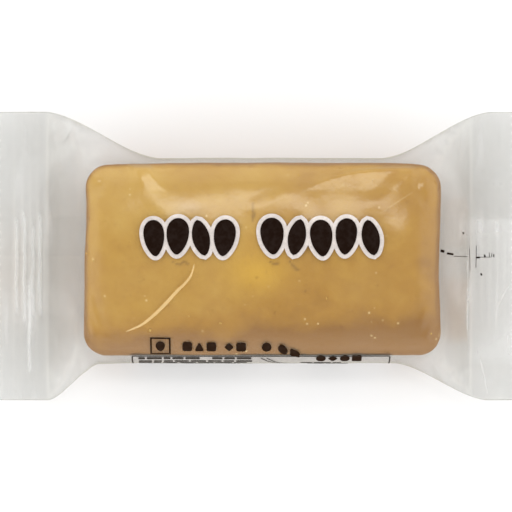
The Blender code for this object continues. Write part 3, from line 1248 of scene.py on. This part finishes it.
class Nodes:
    """A short way to lay out a material's nodes."""

    def __init__(self, name):
        self.material = bpy.data.materials.new(name)
        self.material.use_nodes = True
        self.tree = self.material.node_tree
        self.tree.nodes.clear()
        self.output = self.tree.nodes.new("ShaderNodeOutputMaterial")

    def add(self, kind, **settings):
        node = self.tree.nodes.new("ShaderNode" + kind)
        for name, value in settings.items():
            if hasattr(node, name):
                setattr(node, name, value)
        return node

    def feed(self, socket, value):
        """Links another node's output to the socket, or sets the socket to a constant."""
        if isinstance(value, bpy.types.NodeSocket):
            self.tree.links.new(value, socket)
        else:
            socket.default_value = (*value, 1) if hasattr(value, "__len__") else value

    def put(self, node, **inputs):
        """The node, with the named inputs fed."""
        for name, value in inputs.items():
            self.feed(node.inputs[name.replace("_", " ")], value)
        return node

    def math(self, operation, a, b=0.0):
        node = self.add("Math", operation=operation)
        self.feed(node.inputs[0], a)
        self.feed(node.inputs[1], b)
        return node.outputs[0]

    def stored(self, name):
        """The number that the mesh stores at each point under a name."""
        return self.add("Attribute", attribute_name=name).outputs["Fac"]

    def noise(self, where, scale, detail=3.0, roughness=0.5):
        node = self.add("TexNoise")
        self.put(node, Vector=where, Scale=scale, Detail=detail, Roughness=roughness)
        return node.outputs["Fac"]

    def ramp(self, value, *stops):
        """A colour or grey ramp through (place, colour) stops."""
        node = self.add("ValToRGB")
        ramp = node.color_ramp
        for i, (place, colour) in enumerate(stops):
            stop = ramp.elements[i] if i < 2 else ramp.elements.new(place)
            stop.position = place
            stop.color = (*colour, 1) if hasattr(colour, "__len__") else (colour,) * 3 + (1,)
        self.tree.links.new(value, node.inputs[0])
        return node.outputs[0]

    def blend(self, share, a, b, mode="MIX"):
        node = self.add("Mix", data_type="RGBA", blend_type=mode)
        for index, value in ((0, share), (6, a), (7, b)):
            self.feed(node.inputs[index], value)
        return node.outputs[2]

    def fade(self, share, first, second):
        """One shader fading into another."""
        node = self.add("MixShader")
        for socket, value in zip(node.inputs, (share, first.outputs[0], second.outputs[0])):
            self.feed(socket, value)
        return node

    def place(self):
        return self.add("TexCoord").outputs["Object"]

    def finish(self, shader):
        self.tree.links.new(shader, self.output.inputs["Surface"])
        return self.material


FILM_REFLECTANCE = 0.04
GRAZING_REFLECTANCE = 0.6
FILM_ROUGHNESS = 0.16
GLOSS_COLOUR = (1.0, 0.97, 0.84)
# What the film lets through: at the pack's ends, where it has a warm tint, and at its edges.
END_TINT = (0.857, 0.858, 0.850)
WARM_TINT = (0.860, 0.822, 0.785)
EDGE_TINT = (0.56, 0.56, 0.56)
FIN_EDGE_TINT = (0.98, 0.98, 0.98)
# The colour of the film's haze, also used for the end pleats' painted highlights, and the warm
# colour of the loaf pleats' painted highlights.
HAZE_AND_HIGHLIGHT_WHITE = (0.92, 0.915, 0.91)
WARM_PLEAT_HIGHLIGHT = (1.0, 0.74, 0.36)


def film_material(name, clearness, haze, milk_colour, reflectance=FILM_REFLECTANCE, edge=EDGE_TINT):
    """Clear, slightly hazy film: see-through, with gloss that grows at grazing angles."""
    n = Nodes(name)
    place = n.place()
    cloud = n.noise(place, 60.0, 4.0, 0.6)
    # How milky the film is: its own haze, plus the stored milkiness, which holds painted
    # highlights.
    haze_and_sheen_share = n.math("ADD", n.ramp(cloud, (0.3, haze[0]), (0.72, haze[1])), n.stored("haze_and_sheen"))
    facing = n.put(n.add("LayerWeight"), Blend=0.5).outputs["Facing"]
    face_on = n.blend(n.stored("ends"), (clearness,) * 3, END_TINT)
    # A warm, darker tint; in the right funnel it is painted shade and reflection of the loaf.
    face_on = n.blend(n.stored("warm"), face_on, WARM_TINT)
    tint = n.blend(n.math("POWER", facing, 3.0), face_on, edge)
    clear = n.put(n.add("BsdfTransparent"), Color=tint)
    milk = n.put(n.add("BsdfDiffuse"), Color=milk_colour)
    fine = n.noise(place, 420.0, 3.0, 0.55)
    ripple = n.put(n.add("Bump"), Strength=0.12, Distance=0.0003, Height=fine)
    grazing = n.math("MULTIPLY", n.math("POWER", facing, 5.0), GRAZING_REFLECTANCE)
    shine = n.put(
        n.add("BsdfGlossy"),
        Roughness=FILM_ROUGHNESS,
        Normal=ripple.outputs[0],
        Color=GLOSS_COLOUR,
    )
    film = n.fade(n.math("ADD", grazing, reflectance), n.fade(haze_and_sheen_share, clear, milk), shine)
    return n.finish(film.outputs[0])


# The crust's colour by how dark it is baked and painted shaded, and the colours that are blended
# over it.
CRUST_COLOURS = (
    (0.05, (0.655, 0.408, 0.085)),
    (0.40, (0.550, 0.308, 0.046)),
    (0.65, (0.460, 0.233, 0.028)),
    (0.95, (0.310, 0.140, 0.020)),
)
YELLOW = (0.74, 0.43, 0.035)
PORE_BROWN = (0.30, 0.13, 0.035)
CRACK_BROWN_AND_SHADE = (0.24, 0.12, 0.02)
FLECK_GOLD = (0.86, 0.66, 0.30)


def crust_material():
    """Golden crust: colour from how dark it is baked and painted shaded, with fine crumb and small
    flecks.
    """
    n = Nodes("corn_crust")
    place = n.place()
    mottle = n.math("MULTIPLY", n.math("SUBTRACT", n.noise(place, 210.0, 5.0, 0.62), 0.5), 0.45)
    # Colour from the bake and the painted shade stored with it.
    colour = n.ramp(n.math("ADD", n.stored("baked_and_shaded"), mottle), *CRUST_COLOURS)
    colour = n.blend(n.math("MULTIPLY", n.stored("yellow"), 0.7), colour, YELLOW)
    crumb = n.noise(place, 950.0, 4.0, 0.65)
    pores = n.ramp(crumb, (0.28, 0.30), (0.40, 0.0))
    colour = n.blend(pores, colour, PORE_BROWN)
    # Dark brown in the cracks: crust colour with painted shade in the recesses.
    colour = n.blend(n.math("MULTIPLY", n.stored("crack"), 0.7), colour, CRACK_BROWN_AND_SHADE)
    grains = n.put(n.add("TexVoronoi"), Vector=place, Scale=420.0)
    fleck = n.ramp(grains.outputs["Distance"], (0.10, 0.65), (0.2, 0.0))
    rare = n.ramp(n.noise(place, 160.0, 2.0), (0.56, 0.0), (0.66, 1.0))
    colour = n.blend(n.math("MULTIPLY", fleck, rare), colour, FLECK_GOLD)
    relief = n.put(n.add("Bump"), Strength=0.5, Distance=0.00035, Height=crumb)
    shader = n.put(
        n.add("BsdfPrincipled"),
        **{"Base Color": colour, "Roughness": 0.68, "Normal": relief.outputs[0]},
    )
    return n.finish(shader.outputs[0])


FLOOR_COLOUR = (0.96, 0.96, 0.96)


def ink_material(name, colour):
    """Ink with the slight mottle of printed film."""
    n = Nodes(name)
    patchy = n.noise(n.place(), 700.0, 3.0, 0.6)
    lighter = tuple(min(1.0, c * 1.15 + 0.004) for c in colour)
    tone = n.blend(n.ramp(patchy, (0.4, 0.0), (0.65, 1.0)), colour, lighter)
    shader = n.put(
        n.add("BsdfPrincipled"),
        **{"Base Color": tone, "Roughness": 0.6, "Specular IOR Level": 0.0},
    )
    return n.finish(shader.outputs[0])


def floor_material():
    n = Nodes("pale_floor")
    shader = n.put(n.add("BsdfDiffuse"), Color=FLOOR_COLOUR)
    return n.finish(shader.outputs[0])


# ---- Floor, light and camera ----

FLOOR_HALF = 6.0
FLOOR_DROP = 0.0002
KEY_PLACE = (0.035, 0.25, 0.85)
KEY_SIZE = (0.31, 0.12)
KEY_RADIANCE = 5.6
# The studio's brightness by height: how high a direction points, and its radiance.
STUDIO = ((0.3, 1.65), (0.75, 1.35), (0.97, 0.38))
# The camera sees an image of this many pixels, at this many pixels to a millimetre.
IMAGE_SIZE = 512
PIXELS_PER_MM = 3.5
FOCAL_LENGTH = 300.0
SENSOR_WIDTH = 36.0
FOCUS_HEIGHT = 0.015


def add_floor():
    """A pale square just under the pack."""
    mesh = bpy.data.meshes.new("floor")
    corners = [(-1, -1), (1, -1), (1, 1), (-1, 1)]
    points = [(FLOOR_HALF * x, FLOOR_HALF * y, -FLOOR_DROP) for x, y in corners]
    mesh.from_pydata(points, [], [(0, 1, 2, 3)])
    mesh.materials.append(floor_material())
    floor = bpy.data.objects.new("floor", mesh)
    bpy.context.scene.collection.objects.link(floor)


def add_key():
    """A rectangular soft light that faces the pack from above its back edge."""
    light = bpy.data.lights.new("key", "AREA")
    light.shape = "RECTANGLE"
    light.size, light.size_y = KEY_SIZE
    light.energy = KEY_RADIANCE * math.pi * KEY_SIZE[0] * KEY_SIZE[1]
    lamp = bpy.data.objects.new("key", light)
    lamp.location = KEY_PLACE
    lamp.rotation_euler = Vector(KEY_PLACE).to_track_quat("Z", "Y").to_euler()
    bpy.context.scene.collection.objects.link(lamp)


def add_world():
    """A pale studio: darker overhead, where the camera is, and lighter at the sides."""
    world = bpy.data.worlds.new("studio")
    world.use_nodes = True
    bpy.context.scene.world = world
    tree = world.node_tree
    background = tree.nodes["Background"]
    direction = tree.nodes.new("ShaderNodeTexCoord")
    parts = tree.nodes.new("ShaderNodeSeparateXYZ")
    ramp = tree.nodes.new("ShaderNodeValToRGB")
    ramp.color_ramp.elements.new(0.5)
    for stop, (place, grey) in zip(ramp.color_ramp.elements, STUDIO):
        stop.position = place
        stop.color = (grey, grey, grey, 1)
    tree.links.new(direction.outputs["Generated"], parts.inputs[0])
    tree.links.new(parts.outputs["Z"], ramp.inputs[0])
    tree.links.new(ramp.outputs[0], background.inputs["Color"])
    background.inputs["Strength"].default_value = 1.0


def add_camera():
    """A long lens straight above the pack."""
    camera = bpy.data.cameras.new("camera")
    camera.sensor_width = SENSOR_WIDTH
    camera.lens = FOCAL_LENGTH
    camera.clip_end = 10.0
    seen = IMAGE_SIZE / PIXELS_PER_MM * MM
    view = bpy.data.objects.new("camera", camera)
    view.location = (0, 0, seen * FOCAL_LENGTH / SENSOR_WIDTH + FOCUS_HEIGHT)
    bpy.context.scene.collection.objects.link(view)
    bpy.context.scene.camera = view


def set_attributes(piece, fields):
    """Stores one number at each point, under a name that the material reads."""
    for name, values in fields.items():
        attribute = piece.data.attributes.new(name, "FLOAT", "POINT")
        attribute.data.foreach_set("value", np.asarray(values, np.float32).ravel())


# Painted highlights along crimp lines in the left seal: x, and from where to where they run in y.
CRIMP_HIGHLIGHTS = (
    (-68.7, -16.0, 10.5),
    (-66.4, -19.0, 12.0),
    (-65.0, -33.0, -8.0),
    (-64.0, -17.0, 8.0),
    (-61.9, -16.0, 11.5),
)
CRIMP_HIGHLIGHT_WIDTH = 0.42
# How milky the ends are: in clouds, in streaks that are painted highlights, along the crimp lines
# as painted highlights, past the right seal's root between some places in y, and in a patch of the
# right seal between others.
CLOUD_VEIL = 0.11
STREAK_HIGHLIGHT = 0.12
CRIMP_HIGHLIGHT_STRENGTH = 0.30
ROOT_VEIL = 0.12
ROOT_VEIL_Y = ((-32, -28), (10, 12))
PATCH_VEIL = 0.06
PATCH_VEIL_Y = ((6.3, 7.1), (10, 10.8))
# The warm tint in the right funnel, painted shade and reflection of the loaf: how strong, and from
# where to where in y.
RIGHT_WARM_SHADE_AND_REFLECTION = ((1.0, (-26, -22), (-9, -4)), (0.45, (1, 4), (15, 18)))
# The left warm tints, in the funnel and at the outer seal: how strong, the middle and the reach.
LEFT_WARM_TINTS = ((0.25, -12, 17), (0.35, -6, 14))
# A painted highlight over the loaf, laid as a milky patch: its place, how strong it is, its slant
# and its reach.
HIGHLIGHT_PATCH_PLACE = (-18.5, 13.4)
HIGHLIGHT_PATCH_STRENGTH = 0.10
HIGHLIGHT_PATCH_SLANT = 0.8
HIGHLIGHT_PATCH_REACH = (4.16, 2.2)


def haze_and_sheen_field(points, beyond, wander):
    """How milky each point of the film is at the pack's ends, painted highlights included."""
    x, y = points[:, :, 0], points[:, :, 1]
    cloudy = step(-0.15, 0.55, value_noise(points * (1, 0.7, 0), 12.0, 40))
    # Streaks of milkiness: painted highlights.
    streaky = step(0.0, 0.6, value_noise(points * (1, 0.13, 0), 2.4, 41))
    streaky = streaky * step(-0.3, 0.4, value_noise(points, 16.0, 43))
    haze_and_sheen = CLOUD_VEIL * cloudy + STREAK_HIGHLIGHT * streaky
    # Painted highlights along the crimp lines.
    for place, low, high in CRIMP_HIGHLIGHTS:
        run = span(y, (low - 2, low + 2), (high - 2, high + 2))
        haze_and_sheen += CRIMP_HIGHLIGHT_STRENGTH * bump(x + 0.5 * wander - place, CRIMP_HIGHLIGHT_WIDTH) * run
    haze_and_sheen += ROOT_VEIL * beyond * span(y, *ROOT_VEIL_Y)
    outer = step(SEAL_ROOTS[1] + 1, SEAL_ROOTS[1] + 2, x)
    return haze_and_sheen + PATCH_VEIL * outer * span(y, *PATCH_VEIL_Y)


def film_fields(points):
    """Where the film is flattened, where it is milky, with painted highlights in that milkiness,
    and where it has a warm tint.
    """
    x, y = points[:, :, 0], points[:, :, 1]
    left = 1 - step(LOAF_ENDS[0] - 5, LOAF_ENDS[0] + 1, x)
    right = step(LOAF_ENDS[1] - 1, LOAF_ENDS[1] + 5, x)
    sealed = 1 - span(x, (SEAL_ROOTS[0], LOAF_ENDS[0] + 4), (LOAF_ENDS[1] - 4, SEAL_ROOTS[1]))
    wander = value_noise(points * (0, 1, 0), 7.0, 42)
    boundary = SEAL_ROOTS[1] - 1.0 + 1.1 * wander
    beyond = step(boundary - 0.3, boundary + 0.3, x)
    # The right funnel's warm tint: painted shade and reflection of the loaf.
    warm = np.max([strength * span(y, *ends) for strength, *ends in RIGHT_WARM_SHADE_AND_REFLECTION], 0)
    warm = warm * right * (1 - beyond)
    funnel_side = left * step(SEAL_ROOTS[0], SEAL_ROOTS[0] + 8, x)
    outer_side = 1 - step(SEAL_ROOTS[0] - 9, SEAL_ROOTS[0] - 5, x)
    for side, (strength, middle, reach) in zip((funnel_side, outer_side), LEFT_WARM_TINTS):
        warm += strength * side * bump(y - middle, reach)
    # A painted highlight over the loaf, as a milky patch.
    off_x, off_y = x - HIGHLIGHT_PATCH_PLACE[0], y - HIGHLIGHT_PATCH_PLACE[1]
    highlight_patch = HIGHLIGHT_PATCH_STRENGTH * bump(off_x + HIGHLIGHT_PATCH_SLANT * off_y, HIGHLIGHT_PATCH_REACH[0])
    highlight_patch = highlight_patch * bump(off_y, HIGHLIGHT_PATCH_REACH[1])
    haze_and_sheen = haze_and_sheen_field(points, beyond, wander) * (left + right) + highlight_patch
    return {"ends": sealed, "haze_and_sheen": haze_and_sheen, "warm": warm}


def main():
    """The pack, piece by piece, and the studio round it."""
    bpy.context.scene.view_settings.view_transform = "Standard"
    film_points = crimped(ridged(folded_film()))
    rows, columns, _ = film_points.shape
    clear = film_material("clear_film", 0.93, (0.002, 0.02), HAZE_AND_HIGHLIGHT_WHITE)
    fin = film_material("fin_film", 1.0, (0.0, 0.004), HAZE_AND_HIGHLIGHT_WHITE, 0.0, FIN_EDGE_TINT)
    # The pleats' milky films are painted highlights.
    pleat_highlight = film_material("pleat_highlight_film", 0.97, (0.15, 0.4), HAZE_AND_HIGHLIGHT_WHITE)
    warm_pleat_highlight = film_material("warm_pleat_highlight_film", 0.97, (0.38, 0.62), WARM_PLEAT_HIGHLIGHT)
    film = made_object(
        "film", film_points.reshape(-1, 3), film_faces(rows, columns), clear, "film"
    )
    set_attributes(film, film_fields(film_points))
    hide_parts("wrapped_cornbread")
    surface = Film(film_points)
    made_object("film_fin_seal", *fin_mesh(surface), fin, "film")
    made_object("film_end_pleat_highlights", *pleat_mesh(surface, END_PLEATS), pleat_highlight, "film")
    made_object("film_loaf_pleat_highlights", *pleat_mesh(surface, LOAF_PLEATS), warm_pleat_highlight, "film")
    loaf_points, loaf_faces, fields = baked_loaf()
    crust = crust_material()
    loaf = made_object("loaf", loaf_points, loaf_faces, crust, "crust")
    set_attributes(loaf, fields)
    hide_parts("wrapped_cornbread")
    made_object("crumbs", *crumb_lumps(), crust, "crust")
    add_prints(surface)
    add_floor()
    add_key()
    add_world()
    add_camera()


main()
